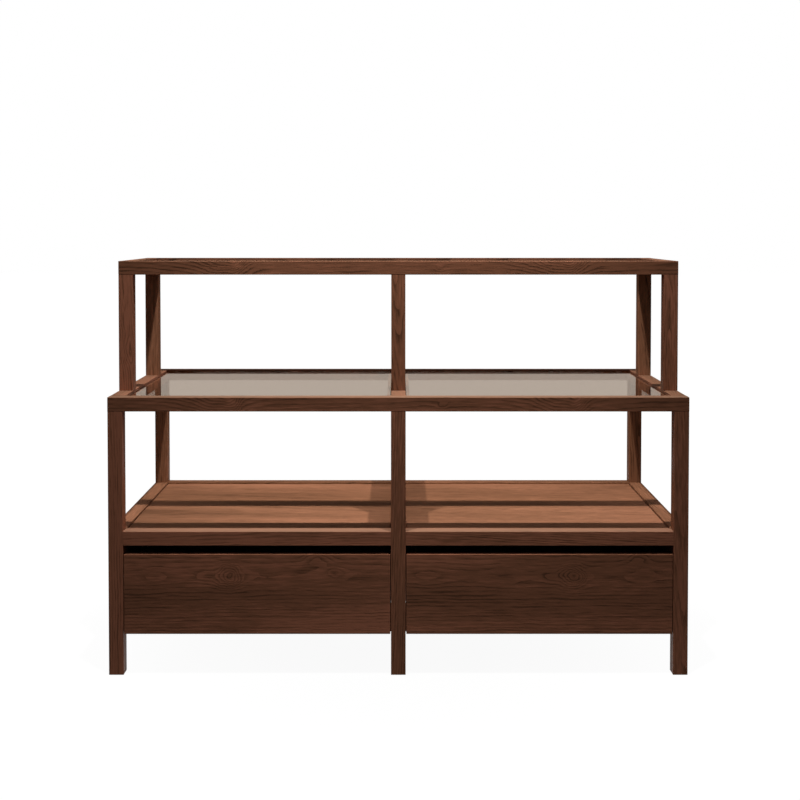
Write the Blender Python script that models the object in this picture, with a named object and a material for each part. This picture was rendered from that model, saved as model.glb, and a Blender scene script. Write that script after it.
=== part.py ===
"""Two-tier shop display console.

A stained-oak frame carries two glazed tiers and a boarded shelf. Two drawers on telescopic
slides close the case under the shelf. Metres, +Z up, front towards -Y, with the origin on
the floor under the middle of the frame.
"""

import bmesh
import bpy
from mathutils import Vector

# Overall sizes
WIDTH = 1.500
DEPTH = 0.680
HEIGHT = 1.070
TIER_TOP = 0.722
UPPER_DEPTH = 0.400
SHELF_TOP = 0.374
CASE_BOTTOM = 0.107

# Timber sections
POST = 0.038
RAIL_HEIGHT = 0.0365
LEDGE_WIDTH = 0.0105
ARRIS = 0.001
ARRIS_SEGMENTS = 2

# Panes and boards
GLASS_THICKNESS = 0.008
GLASS_RECESS = 0.0055
GLASS_PLAY = 0.001
THIN_ARRIS = 0.0006
SHELF_BOARD = 0.018
SHELF_RECESS = 0.004
SHELF_PLAY = 0.0015
SIDE_PANEL = 0.018
BACK_PANEL = 0.012

# Joints between fixed pieces
FIT = 0.0003
TENON_LENGTH = 0.012
TENON_THICKNESS = 0.010
TENON_EDGE = 0.004
POST_TENON = 0.020
TONGUE_LENGTH = 0.006
TONGUE_THICKNESS = 0.008

# Drawers
DRAWER_REVEAL = 0.00175
FINGER_GAP = 0.0225
DRAWER_FRONT = 0.020
DRAWER_SIDE = 0.014
DRAWER_LIFT = 0.015
SIDE_DROP = 0.028
BACK_CLEARANCE = 0.075
DRAWER_BASE = 0.006
BASE_LIFT = 0.010
BASE_GROOVE = 0.006

# Telescopic slides
SLIDE_WIDTH = 0.0127
SLIDE_HEIGHT = 0.045
SLIDE_METAL = 0.0012
SLIDE_BEND = 0.0008
BEND_SEGMENTS = 3
SLIDE_RUN = 0.0004
SLIDE_SETBACK = 0.004

# Colour, roughness and metallic value of each finish
FINISHES = {
    "stained_oak": ((0.105, 0.042, 0.022), 0.50, 0.0),
    "drawer_oak": ((0.330, 0.210, 0.125), 0.60, 0.0),
    "glass": ((0.780, 0.730, 0.680), 0.04, 0.0),
    "steel": ((0.560, 0.565, 0.570), 0.35, 1.0),
}

# Axes, and how near to one a direction must lie to count as along it
X, Y, Z = range(3)
ALONG = 0.999

# Places that follow from the sizes above
HALF_WIDTH = WIDTH / 2
HALF_DEPTH = DEPTH / 2
HALF_UPPER = UPPER_DEPTH / 2
HALF_POST = POST / 2
TIER_BOTTOM = TIER_TOP - RAIL_HEIGHT
SHELF_BOTTOM = SHELF_TOP - RAIL_HEIGHT
UPPER_BOTTOM = HEIGHT - RAIL_HEIGHT
FRONT_TOP = SHELF_BOTTOM - FINGER_GAP
COLUMNS = {"left": HALF_POST - HALF_WIDTH, "centre": 0.0, "right": HALF_WIDTH - HALF_POST}
ROWS = {"front": -1, "rear": 1}
BAYS = {"left": (POST - HALF_WIDTH, -HALF_POST), "right": (HALF_POST, HALF_WIDTH - POST)}


def clear_scene():
    """Start from an empty scene."""
    for item in list(bpy.data.objects):
        bpy.data.objects.remove(item, do_unlink=True)


def carrier(name, place):
    """Add the empty that one rigid group of pieces hangs from."""
    empty = bpy.data.objects.new(name, None)
    empty.location = place
    bpy.context.collection.objects.link(empty)
    return empty


def finish_material(name, finish):
    """Make a piece's own Principled material."""
    colour, roughness, metallic = FINISHES[finish]
    material = bpy.data.materials.new(name)
    material.use_nodes = True
    shader = material.node_tree.nodes["Principled BSDF"]
    shader.inputs["Base Color"].default_value = (*colour, 1.0)
    shader.inputs["Roughness"].default_value = roughness
    shader.inputs["Metallic"].default_value = metallic
    return material


def add_piece(name, shape, finish, group):
    """Turn a shape in world coordinates into a named object placed from its own middle."""
    corners = [vert.co.copy() for vert in shape.verts]
    low = Vector(min(corner[axis] for corner in corners) for axis in (X, Y, Z))
    high = Vector(max(corner[axis] for corner in corners) for axis in (X, Y, Z))
    middle = (low + high) / 2
    bmesh.ops.translate(shape, vec=-middle, verts=shape.verts)
    mesh = bpy.data.meshes.new(name)
    shape.to_mesh(mesh)
    shape.free()
    mesh.materials.append(finish_material(name + "_finish", finish))
    piece = bpy.data.objects.new(name, mesh)
    piece.parent = group
    piece.location = middle - group.location
    bpy.context.collection.objects.link(piece)
    return piece


def block(low, high):
    """A squared block between two corners."""
    low, high = Vector(low), Vector(high)
    shape = bmesh.new()
    bmesh.ops.create_cube(shape, size=1.0)
    bmesh.ops.scale(shape, vec=high - low, verts=shape.verts)
    bmesh.ops.translate(shape, vec=(low + high) / 2, verts=shape.verts)
    return shape


def ease(shape, edges, radius=ARRIS, segments=ARRIS_SEGMENTS):
    """Round an arris along the given edges."""
    bmesh.ops.bevel(
        shape,
        geom=edges,
        offset=radius,
        offset_type="OFFSET",
        segments=segments,
        profile=0.5,
        affect="EDGES",
    )


def long_edges(shape, axis):
    """The edges that run along an axis."""
    chosen = []
    for edge in shape.edges:
        along = (edge.verts[1].co - edge.verts[0].co).normalized()
        if abs(along[axis]) > ALONG:
            chosen.append(edge)
    return chosen


def edge_middle(edge):
    return (edge.verts[0].co + edge.verts[1].co) / 2


def boolean(piece, low, high, operation):
    """Join a block to a piece, or cut it away, with a hidden cutter."""
    name = f"{piece.name}_cutter_{len(piece.modifiers)}"
    mesh = bpy.data.meshes.new(name)
    shape = block(low, high)
    shape.to_mesh(mesh)
    shape.free()
    cutter = bpy.data.objects.new(name, mesh)
    cutter.hide_render = True
    cutter.display_type = "WIRE"
    bpy.context.collection.objects.link(cutter)
    modifier = piece.modifiers.new(name, "BOOLEAN")
    modifier.operation = operation
    modifier.solver = "EXACT"
    modifier.object = cutter


def stub_joint(piece, host, axis, face, sign, low, high, length):
    """Grow a stub on a piece's end and sink its socket in the host, both from one section.

    face is where the host's surface crosses the axis, sign points into the host, and low
    and high bound the stub on the other two axes.
    """
    ends = sorted((face - sign * length, face + sign * length))
    stub_low, stub_high = Vector(low), Vector(high)
    stub_low[axis], stub_high[axis] = ends
    boolean(piece, stub_low, stub_high, "UNION")
    slack = Vector((FIT, FIT, FIT))
    socket_low, socket_high = stub_low - slack, stub_high + slack
    if sign > 0:
        socket_low[axis] = face - FIT
    else:
        socket_high[axis] = face + FIT
    boolean(host, socket_low, socket_high, "DIFFERENCE")


def side_face(shape, axis, sign):
    """The large face on one side of a shape."""
    facing = [face for face in shape.faces if face.normal[axis] * sign > ALONG]
    return max(facing, key=lambda face: face.calc_area())


def split_faces(shape, faces, axis, place):
    """Cut some faces at a place along an axis, and give back all the parts."""
    parts = dict.fromkeys(faces)
    for face in faces:
        parts.update(dict.fromkeys(face.edges))
        parts.update(dict.fromkeys(face.verts))
    normal = Vector((0, 0, 0))
    normal[axis] = 1
    cut = bmesh.ops.bisect_plane(shape, geom=list(parts), plane_co=normal * place, plane_no=normal)
    return [part for part in cut["geom"] if isinstance(part, bmesh.types.BMFace)]


def grow_ledge(shape, axis, sign, seat, spans):
    """Draw a ledge out of a rail's side face, below the seat and within the spans."""
    across = Y if axis == X else X
    faces = split_faces(shape, [side_face(shape, across, sign)], Z, seat)
    faces = [face for face in faces if face.calc_center_median()[Z] < seat]
    for start, stop in spans:
        faces = split_faces(shape, faces, axis, start)
        faces = split_faces(shape, faces, axis, stop)
    drawn = []
    for face in faces:
        place = face.calc_center_median()[axis]
        if any(start < place < stop for start, stop in spans):
            drawn.append(face)
    out = Vector((0, 0, 0))
    out[across] = sign * LEDGE_WIDTH
    for face in bmesh.ops.extrude_discrete_faces(shape, faces=drawn)["faces"]:
        bmesh.ops.translate(shape, vec=out, verts=face.verts)


def ledged_rail(name, axis, low, high, seat, ledges, group):
    """A rail with eased edges and a ledge on each listed side for a pane or board to lie on."""
    across = Y if axis == X else X
    shape = block(low, high)
    middle = (Vector(low) + Vector(high)) / 2
    eased = []
    for edge in long_edges(shape, axis):
        place = edge_middle(edge)
        sign = 1 if place[across] > middle[across] else -1
        if place[Z] > middle[Z] or sign not in ledges:
            eased.append(edge)
    ease(shape, eased)
    for sign, spans in ledges.items():
        grow_ledge(shape, axis, sign, seat, spans)
    return add_piece(name, shape, "stained_oak", group)


def post(name, x, y, bottom, top, on_floor, group):
    """A square post with eased edges, all round its foot as well where it stands on the floor."""
    shape = block((x - HALF_POST, y - HALF_POST, bottom), (x + HALF_POST, y + HALF_POST, top))
    eased = long_edges(shape, Z)
    if on_floor:
        middle = (bottom + top) / 2
        eased += [
            edge for edge in shape.edges if edge not in eased and edge_middle(edge)[Z] < middle
        ]
    ease(shape, eased)
    return add_piece(name, shape, "stained_oak", group)


def board(name, low, high, finish, group, radius=ARRIS):
    """A flat board or pane with a small arris on every edge."""
    shape = block(low, high)
    ease(shape, shape.edges[:], radius, 1)
    return add_piece(name, shape, finish, group)


def post_tenon(piece, host, x, y, face, sign):
    """Tenon the end of a post into the rail over or under it."""
    half = POST_TENON / 2
    low, high = (x - half, y - half, 0), (x + half, y + half, 0)
    stub_joint(piece, host, Z, face, sign, low, high, TENON_LENGTH)


def rail_tenon(rail, host, axis, face, sign, across, bottom, upper):
    """Tenon a rail's end in the upper or lower half of its height, so that two can share a post."""
    middle = bottom + RAIL_HEIGHT / 2
    if upper:
        heights = (middle + TENON_EDGE / 2, bottom + RAIL_HEIGHT - TENON_EDGE)
    else:
        heights = (bottom + TENON_EDGE, middle - TENON_EDGE / 2)
    half = TENON_THICKNESS / 2
    low, high = Vector((0, 0, heights[0])), Vector((0, 0, heights[1]))
    other = Y if axis == X else X
    low[other], high[other] = across - half, across + half
    stub_joint(rail, host, axis, face, sign, low, high, TENON_LENGTH)


def panel_tongue(panel, host, axis, face, sign, across, bottom, top):
    """Tongue a panel's end into the post or board beside it."""
    half = TONGUE_THICKNESS / 2
    low, high = Vector((0, 0, bottom + TENON_EDGE)), Vector((0, 0, top - TENON_EDGE))
    other = Y if axis == X else X
    low[other], high[other] = across - half, across + half
    stub_joint(panel, host, axis, face, sign, low, high, TONGUE_LENGTH)


def cross_rail_ledges(column, half_depth):
    """Where a front-to-back rail has ledges: on the bay side or sides, between the long rails'."""
    reach = half_depth - POST - LEDGE_WIDTH - FIT
    sides = {"left": (1,), "centre": (-1, 1), "right": (-1,)}[column]
    return {sign: [(-reach, reach)] for sign in sides}


def tier_seat(top):
    """Height of the ledge under a pane."""
    return top - GLASS_RECESS - GLASS_THICKNESS - FIT


def glazed_frame(prefix, half_depth, top, columns, spans, group):
    """Long rails over the posts, cross rails tenoned between them, and ledges round each span."""
    bottom = top - RAIL_HEIGHT
    seat = tier_seat(top)
    rails = {}
    for row, side in ROWS.items():
        outer, inner = side * half_depth, side * (half_depth - POST)
        low = (-HALF_WIDTH, min(outer, inner), bottom)
        high = (HALF_WIDTH, max(outer, inner), top)
        ledges = {-side: [(start + FIT, stop - FIT) for start, stop in spans]}
        rails[row] = ledged_rail(f"{prefix}_rail_{row}", X, low, high, seat, ledges, group)
    for column in columns:
        x = COLUMNS[column]
        reach = half_depth - POST - FIT
        low, high = (x - HALF_POST, -reach, bottom), (x + HALF_POST, reach, top)
        ledges = cross_rail_ledges(column, half_depth)
        rails[column] = ledged_rail(f"{prefix}_rail_{column}", Y, low, high, seat, ledges, group)
        for row, side in ROWS.items():
            face = side * (half_depth - POST)
            rail_tenon(rails[column], rails[row], Y, face, side, x, bottom, True)
    return rails


def pane(name, span, half_depth, top, group):
    """A glass pane lying on the ledges of one span."""
    reach = half_depth - POST - GLASS_PLAY
    low = (span[0] + GLASS_PLAY, -reach, top - GLASS_RECESS - GLASS_THICKNESS)
    high = (span[1] - GLASS_PLAY, reach, top - GLASS_RECESS)
    board(name, low, high, "glass", group, THIN_ARRIS)


def base_posts(tier, group):
    """Six posts from the floor up to the lower tier's long rails."""
    posts = {}
    for row, side in ROWS.items():
        y = side * (HALF_DEPTH - HALF_POST)
        for column, x in COLUMNS.items():
            name = f"base_post_{row}_{column}"
            piece = post(name, x, y, 0.0, TIER_BOTTOM - FIT, True, group)
            post_tenon(piece, tier[row], x, y, TIER_BOTTOM, 1)
            posts[row, column] = piece
    return posts


def upper_posts(tier, upper, group):
    """Six shorter posts from the lower tier's cross rails up to the upper tier's long rails."""
    for row, side in ROWS.items():
        y = side * (HALF_UPPER - HALF_POST)
        for column, x in COLUMNS.items():
            name = f"upper_post_{row}_{column}"
            piece = post(name, x, y, TIER_TOP + FIT, UPPER_BOTTOM - FIT, False, group)
            post_tenon(piece, tier[column], x, y, TIER_TOP, -1)
            post_tenon(piece, upper[row], x, y, UPPER_BOTTOM, 1)


def shelf(posts, group):
    """Seven ledged rails between the posts, and a board sunk between them in each bay."""
    seat = SHELF_TOP - SHELF_RECESS - SHELF_BOARD - FIT
    for row, side in ROWS.items():
        outer, inner = side * HALF_DEPTH, side * (HALF_DEPTH - POST)
        middle = side * (HALF_DEPTH - HALF_POST)
        for bay, (start, stop) in BAYS.items():
            low = (start + FIT, min(outer, inner), SHELF_BOTTOM)
            high = (stop - FIT, max(outer, inner), SHELF_TOP)
            ledges = {-side: [(start, stop)]}
            rail = ledged_rail(f"shelf_rail_{row}_{bay}", X, low, high, seat, ledges, group)
            left, right = ("left", "centre") if bay == "left" else ("centre", "right")
            rail_tenon(rail, posts[row, left], X, start, -1, middle, SHELF_BOTTOM, True)
            rail_tenon(rail, posts[row, right], X, stop, 1, middle, SHELF_BOTTOM, True)
    for column, x in COLUMNS.items():
        reach = HALF_DEPTH - POST - FIT
        low, high = (x - HALF_POST, -reach, SHELF_BOTTOM), (x + HALF_POST, reach, SHELF_TOP)
        ledges = cross_rail_ledges(column, HALF_DEPTH)
        rail = ledged_rail(f"shelf_rail_{column}", Y, low, high, seat, ledges, group)
        for row, side in ROWS.items():
            face = side * (HALF_DEPTH - POST)
            rail_tenon(rail, posts[row, column], Y, face, side, x, SHELF_BOTTOM, False)
    for bay, (start, stop) in BAYS.items():
        reach = HALF_DEPTH - POST - SHELF_PLAY
        low = (start + SHELF_PLAY, -reach, SHELF_TOP - SHELF_RECESS - SHELF_BOARD)
        high = (stop - SHELF_PLAY, reach, SHELF_TOP - SHELF_RECESS)
        board(f"shelf_board_{bay}", low, high, "stained_oak", group)


def case_panels(posts, group):
    """Side panels, a centre divider as thick as the posts, and back panels under the shelf."""
    top = SHELF_BOTTOM - FIT
    reach = HALF_DEPTH - POST - FIT
    walls = {
        "side_panel_left": ("left", BAYS["left"][0] - SIDE_PANEL, BAYS["left"][0]),
        "centre_divider": ("centre", -HALF_POST, HALF_POST),
        "side_panel_right": ("right", BAYS["right"][1], BAYS["right"][1] + SIDE_PANEL),
    }
    for name, (column, start, stop) in walls.items():
        low, high = (start, -reach, CASE_BOTTOM), (stop, reach, top)
        panel = board(name, low, high, "stained_oak", group)
        for row, side in ROWS.items():
            face = side * (HALF_DEPTH - POST)
            host = posts[row, column]
            panel_tongue(panel, host, Y, face, side, (start + stop) / 2, CASE_BOTTOM, top)
    middle = HALF_DEPTH - HALF_POST
    for bay, (start, stop) in BAYS.items():
        low = (start + FIT, middle - BACK_PANEL / 2, CASE_BOTTOM)
        high = (stop - FIT, middle + BACK_PANEL / 2, top)
        panel = board(f"back_panel_{bay}", low, high, "stained_oak", group)
        left, right = ("left", "centre") if bay == "left" else ("centre", "right")
        panel_tongue(panel, posts["rear", left], X, start, -1, middle, CASE_BOTTOM, top)
        panel_tongue(panel, posts["rear", right], X, stop, 1, middle, CASE_BOTTOM, top)


def drawer_back():
    """Where the rear face of a drawer's back lies along Y."""
    return HALF_DEPTH - HALF_POST - BACK_PANEL / 2 - BACK_CLEARANCE


def drawer_heights():
    """Lower and upper edges of a drawer's sides and back."""
    return CASE_BOTTOM + DRAWER_LIFT, FRONT_TOP - SIDE_DROP


def slide_height():
    """Slides run along the middle of the drawer's sides."""
    return sum(drawer_heights()) / 2


def drawer(bay, group):
    """A flush front, two sides and a back tongued together, and a base held in grooves."""
    start, stop = BAYS[bay]
    shoulder = DRAWER_FRONT - HALF_DEPTH
    bottom, top = drawer_heights()
    low = (start + DRAWER_REVEAL, -HALF_DEPTH, CASE_BOTTOM)
    high = (stop - DRAWER_REVEAL, shoulder, FRONT_TOP)
    front = board(f"drawer_{bay}_front", low, high, "stained_oak", group)

    rear = drawer_back()
    slide_room = SLIDE_WIDTH + 2 * FIT
    outer_left, outer_right = start + slide_room, stop - slide_room
    inner_left, inner_right = outer_left + DRAWER_SIDE, outer_right - DRAWER_SIDE
    low = (inner_left + FIT, rear - DRAWER_SIDE, bottom)
    high = (inner_right - FIT, rear, top)
    back = board(f"drawer_{bay}_back", low, high, "drawer_oak", group)

    sides = []
    for name, outer, inner, sign in (
        ("left", outer_left, inner_left, -1),
        ("right", outer_right, inner_right, 1),
    ):
        low = (min(outer, inner), shoulder + FIT, bottom)
        high = (max(outer, inner), rear, top)
        side = board(f"drawer_{bay}_side_{name}", low, high, "drawer_oak", group)
        panel_tongue(side, front, Y, shoulder, -1, (outer + inner) / 2, bottom, top)
        panel_tongue(back, side, X, inner, sign, rear - DRAWER_SIDE / 2, bottom, top)
        sides.append(side)

    reach = BASE_GROOVE - FIT
    base_bottom = bottom + BASE_LIFT
    low = Vector((inner_left - reach, shoulder - reach, base_bottom))
    high = Vector((inner_right + reach, rear - DRAWER_SIDE + reach, base_bottom + DRAWER_BASE))
    board(f"drawer_{bay}_base", low, high, "drawer_oak", group, THIN_ARRIS)
    slack = Vector((FIT, FIT, FIT))
    for piece in (front, back, *sides):
        boolean(piece, low - slack, high + slack, "DIFFERENCE")


def round_bend(shape, corner, radius):
    """Round one corner of a flat section, as folding does."""
    bmesh.ops.bevel(
        shape,
        geom=[corner],
        offset=radius,
        offset_type="OFFSET",
        segments=BEND_SEGMENTS,
        profile=0.5,
        affect="VERTICES",
    )


def channel(name, wall, sign, web, lip, half_height, height, group):
    """A folded steel channel along Y: web and lip are distances from the case wall."""
    inward = 1 if lip > web else -1
    outline = [
        (web, -half_height),
        (lip, -half_height),
        (lip, SLIDE_METAL - half_height),
        (web + inward * SLIDE_METAL, SLIDE_METAL - half_height),
        (web + inward * SLIDE_METAL, half_height - SLIDE_METAL),
        (lip, half_height - SLIDE_METAL),
        (lip, half_height),
        (web, half_height),
    ]
    start = DRAWER_FRONT - HALF_DEPTH + SLIDE_SETBACK
    shape = bmesh.new()
    corners = [shape.verts.new((wall + sign * t, start, height + z)) for t, z in outline]
    shape.faces.new(corners)
    for outer, inner in ((corners[0], corners[3]), (corners[7], corners[4])):
        round_bend(shape, outer, SLIDE_BEND + SLIDE_METAL)
        round_bend(shape, inner, SLIDE_BEND)
    drawn = bmesh.ops.extrude_face_region(shape, geom=shape.faces[:])["geom"]
    moved = [part for part in drawn if isinstance(part, bmesh.types.BMVert)]
    bmesh.ops.translate(shape, vec=(0, drawer_back() - start, 0), verts=moved)
    bmesh.ops.recalc_face_normals(shape, faces=shape.faces)
    add_piece(name, shape, "steel", group)


def slide(prefix, wall, sign, frame, middle_group, drawer_group):
    """Three nested channels: one on the case wall, one between, and one on the drawer's side."""
    step = SLIDE_METAL + SLIDE_RUN
    half = SLIDE_HEIGHT / 2
    height = slide_height()
    lip = SLIDE_WIDTH - step
    face = wall + sign * FIT
    channel(f"{prefix}_outer", face, sign, 0.0, lip, half, height, frame)
    channel(f"{prefix}_middle", face, sign, step, lip, half - step, height, middle_group)
    channel(f"{prefix}_inner", face, sign, SLIDE_WIDTH, 2 * step, half - 2 * step, height, drawer_group)


def drawers(frame):
    """Both drawers, each group hung from an empty on its own line of travel."""
    for bay, (start, stop) in BAYS.items():
        line = Vector(((start + stop) / 2, -HALF_DEPTH, slide_height()))
        moving = carrier(f"drawer_{bay}_travel", line)
        halfway = carrier(f"slides_{bay}_travel", line)
        drawer(bay, moving)
        slide(f"slide_{bay}_left", start, 1, frame, halfway, moving)
        slide(f"slide_{bay}_right", stop, -1, frame, halfway, moving)


def main():
    clear_scene()
    frame = carrier("frame", Vector((0, 0, 0)))
    whole = (BAYS["left"][0], BAYS["right"][1])
    tier = glazed_frame("tier", HALF_DEPTH, TIER_TOP, COLUMNS, list(BAYS.values()), frame)
    upper = glazed_frame("upper", HALF_UPPER, HEIGHT, ("left", "right"), [whole], frame)
    posts = base_posts(tier, frame)
    upper_posts(tier, upper, frame)
    shelf(posts, frame)
    case_panels(posts, frame)
    for bay, span in BAYS.items():
        pane(f"tier_glass_{bay}", span, HALF_DEPTH, TIER_TOP, frame)
    pane("upper_glass", whole, HALF_UPPER, HEIGHT, frame)
    drawers(frame)


main()
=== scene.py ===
"""Finishes, small fittings and a stage for a two-tier display console.

Laid out as an add-on and run as a script. Metres, +Z up, front towards -Y.
"""

import math
from collections import namedtuple

import bmesh
import bpy
from bpy.props import FloatProperty, FloatVectorProperty, IntProperty, PointerProperty
from mathutils import Euler, Matrix, Vector


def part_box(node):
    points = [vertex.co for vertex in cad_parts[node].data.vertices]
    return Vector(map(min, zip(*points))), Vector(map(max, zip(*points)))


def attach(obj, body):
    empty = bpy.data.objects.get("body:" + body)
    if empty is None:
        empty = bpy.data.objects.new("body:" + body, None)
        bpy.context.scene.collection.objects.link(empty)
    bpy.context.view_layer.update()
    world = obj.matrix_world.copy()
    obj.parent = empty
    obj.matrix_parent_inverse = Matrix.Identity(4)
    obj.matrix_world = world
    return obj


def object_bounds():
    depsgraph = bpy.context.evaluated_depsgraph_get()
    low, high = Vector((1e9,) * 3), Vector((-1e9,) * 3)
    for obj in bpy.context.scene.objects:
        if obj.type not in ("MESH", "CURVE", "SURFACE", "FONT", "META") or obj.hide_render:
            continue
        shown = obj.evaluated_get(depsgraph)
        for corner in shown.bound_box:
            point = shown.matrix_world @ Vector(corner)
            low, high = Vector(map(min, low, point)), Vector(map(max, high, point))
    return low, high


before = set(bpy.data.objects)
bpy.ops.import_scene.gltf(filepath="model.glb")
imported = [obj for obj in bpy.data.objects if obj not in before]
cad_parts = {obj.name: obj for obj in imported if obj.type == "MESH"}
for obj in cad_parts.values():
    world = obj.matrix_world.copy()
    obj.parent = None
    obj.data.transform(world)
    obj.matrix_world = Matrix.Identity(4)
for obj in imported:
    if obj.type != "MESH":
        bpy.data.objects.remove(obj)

bl_info = {
    "name": "Display Console Finishes",
    "version": (1, 0, 0),
    "blender": (4, 5, 0),
    "location": "View3D > Sidebar > Console",
    "description": "Stained oak, glass, drawer boxes, slides and a stage for a display console",
    "category": "Object",
}

CAD_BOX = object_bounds()

X, Y, Z = range(3)
BAYS = ("left", "right")
ROWS = ("front", "rear")
COLUMNS = ("left", "centre", "right")

# Pieces that share a finish, in the order their timber is cut
TIERS = ("base", "upper")
POSTS = [f"{tier}_post_{row}_{column}" for tier in TIERS for row in ROWS for column in COLUMNS]
TIER_RAILS = [f"tier_rail_{place}" for place in (*ROWS, *COLUMNS)]
UPPER_RAILS = [f"upper_rail_{place}" for place in (*ROWS, *BAYS)]
SHELF_RAILS = [f"shelf_rail_{row}_{bay}" for row in ROWS for bay in BAYS]
SHELF_RAILS += [f"shelf_rail_{column}" for column in COLUMNS]
FRAME_TIMBER = POSTS + TIER_RAILS + UPPER_RAILS + SHELF_RAILS
BROWNER_TIMBER = [post for post in POSTS if "_rear_" in post]
BROWNER_TIMBER += [rail for rail in SHELF_RAILS if "_front_" not in rail]
SHELF_BOARDS = [f"shelf_board_{bay}" for bay in BAYS]
CASE_PANELS = [f"side_panel_{bay}" for bay in BAYS]
CASE_PANELS += ["centre_divider"]
CASE_PANELS += [f"back_panel_{bay}" for bay in BAYS]
DRAWER_FRONTS = [f"drawer_{bay}_front" for bay in BAYS]
BOX_PARTS = ("side_left", "side_right", "back", "base")
DRAWER_BOXES = [f"drawer_{bay}_{part}" for bay in BAYS for part in BOX_PARTS]
PANES = ["tier_glass_left", "tier_glass_right", "upper_glass"]
CHANNELS = ("outer", "middle", "inner")
SLIDES = [f"slide_{bay}_{side}_{part}" for bay in BAYS for side in BAYS for part in CHANNELS]

# Turn that lays each axis along the grain's own X
GRAIN_TURN = {
    X: Euler((0, 0, 0)),
    Y: Euler((0, 0, -math.pi / 2)),
    Z: Euler((0, math.pi / 2, 0)),
}

# How each board is sawn from its log: steps that spread the boards evenly over the ranges
SPREAD = (0.6180, 0.7549, 0.5698, 0.8191)
PITH_DEPTH = (0.018, 0.065)
PITH_ASIDE = (-0.022, 0.022)
SAW_TILT = (-0.075, 0.075)
LOG_STEP = 1.37
TONE_SPREAD = (-0.10, 0.10)
# Number of the first board in each run of like pieces
FIRST_BOARD = {"frame": 1, "shelf": 41, "case": 51, "front": 61, "box": 71, "stop": 91}

# A board sawn to its own figure: its middle from the log's pith, its tilt, the thickness of its
# rings, and its knots, each with its place on the front from the middle, how far its rings swell,
# its reach along and across the board and the tone of its heart; one that is all heart and as
# long as the board is a darker or paler band along it
Figure = namedtuple("Figure", "beside tilt spacing knots")
Knot = namedtuple("Knot", "place swell reach heart", defaults=(0.0,))


def vee(heart, wide, far):
    """Knots in a row along a rail that bow its rings into a vee with a pale heart."""
    return (
        Knot((heart, 0.020), -0.026, (0.022, 0.040)),
        Knot((heart, 0.012), 0.0, (0.045, 0.034), 0.28),
        Knot((wide, 0.030), -0.040, (0.058, 0.080)),
        Knot((far, 0.030), -0.020, (0.120, 0.090)),
    )


# A darker band across the middle of each drawer front, and a paler band low on it that is painted light
# thrown up from the floor
DRAWER_TONE_AND_BOUNCE_BANDS = (
    Knot((0.0, -0.006), 0.0, (4.0, 0.100), -0.16),
    Knot((0.0, -0.082), 0.0, (4.0, 0.090), 0.13),
)
FIGURED = {
    "drawer_left_front": Figure((0.045, -0.048), (0.004, 0.008), 0.0085, (
        Knot((-0.069, 0.045), -0.042, (0.029, 0.029), -0.25),
        Knot((-0.128, 0.047), -0.012, (0.027, 0.018)),
        Knot((-0.262, 0.050), -0.009, (0.036, 0.024)),
        Knot((0.205, 0.056), -0.013, (0.024, 0.016)),
        Knot((0.156, 0.098), -0.020, (0.036, 0.024)),
        *DRAWER_TONE_AND_BOUNCE_BANDS,
    )),
    "drawer_right_front": Figure((0.045, -0.048), (-0.004, 0.007), 0.0085, (
        Knot((0.085, 0.045), -0.042, (0.029, 0.029), -0.25),
        Knot((0.030, 0.046), -0.012, (0.027, 0.018)),
        Knot((-0.085, 0.048), -0.009, (0.060, 0.040)),
        Knot((-0.285, 0.044), -0.010, (0.042, 0.028)),
        Knot((0.270, 0.050), -0.009, (0.036, 0.024)),
        Knot((0.254, 0.098), -0.020, (0.036, 0.024)),
        *DRAWER_TONE_AND_BOUNCE_BANDS,
    )),
    "upper_rail_front": Figure((0.030, -0.030), (0.016, 0.006), 0.0110, (
        *vee(-0.433, -0.470, -0.520),
        Knot((0.113, 0.000), -0.012, (0.014, 0.010), -0.25),
        *vee(0.466, 0.430, 0.380),
    )),
    "tier_rail_front": Figure((0.030, -0.030), (0.016, 0.006), 0.0110, (
        *vee(-0.431, -0.468, -0.518),
        Knot((0.116, -0.002), -0.012, (0.014, 0.010), -0.25),
        *vee(0.458, 0.422, 0.372),
        # Two long bands that make this rail paler towards its left end and darker towards its right
        Knot((-0.750, 0.000), 0.0, (2.2, 1.0), 0.10),
        Knot((0.750, 0.000), 0.0, (2.2, 1.0), -0.10),
    )),
    "base_post_front_left": Figure((0.014, 0.060), (0.012, 0.004), 0.0070, ()),
    "upper_post_front_left": Figure((0.022, 0.012), (0.060, 0.035), 0.0075, (
        Knot((-0.006, 0.030), -0.012, (0.045, 0.018)),
        Knot((0.004, -0.046), -0.018, (0.035, 0.020)),
    )),
}
# How far a knot reaches into its board
KNOT_DEPTH = 0.060
# How much paler or darker a piece is than its stain: partly its own tone, partly painted light and
# shade, with the lower front pieces painted paler in place of fill light and the rear rails painted
# darker as shade on their inner faces
PIECE_TONE_AND_PAINTED_LIGHT = {
    "base_post_front_left": 0.28,
    "base_post_front_centre": 0.09,
    "base_post_front_right": 0.05,
    "base_post_rear_left": -0.18,
    "base_post_rear_right": -0.14,
    "upper_post_front_left": 0.06,
    "upper_post_front_centre": 0.00,
    "upper_post_front_right": 0.01,
    "upper_post_rear_left": -0.06,
    "upper_post_rear_right": -0.03,
    "upper_rail_front": -0.14,
    "upper_rail_rear": -0.36,
    "tier_rail_front": -0.12,
    "tier_rail_rear": -0.25,
    "shelf_rail_rear_left": -0.10,
    "shelf_rail_rear_right": -0.10,
    "shelf_rail_front_left": 0.27,
    "shelf_rail_front_right": 0.27,
    "drawer_left_front": 0.13,
    "drawer_right_front": -0.14,
}
# How far the top of a rail is painted paler and greyer: wear from hands and wiping, together with
# painted sheen that stands in for gloss
TOP_WEAR_AND_SHEEN = {
    "upper_rail_front": 0.30,
    "upper_rail_left": 0.15,
    "upper_rail_right": 0.15,
    "tier_rail_front": 0.45,
    "tier_rail_left": 0.25,
    "tier_rail_centre": 0.25,
    "tier_rail_right": 0.25,
    "shelf_rail_front_left": 0.50,
    "shelf_rail_front_right": 0.50,
}

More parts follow.
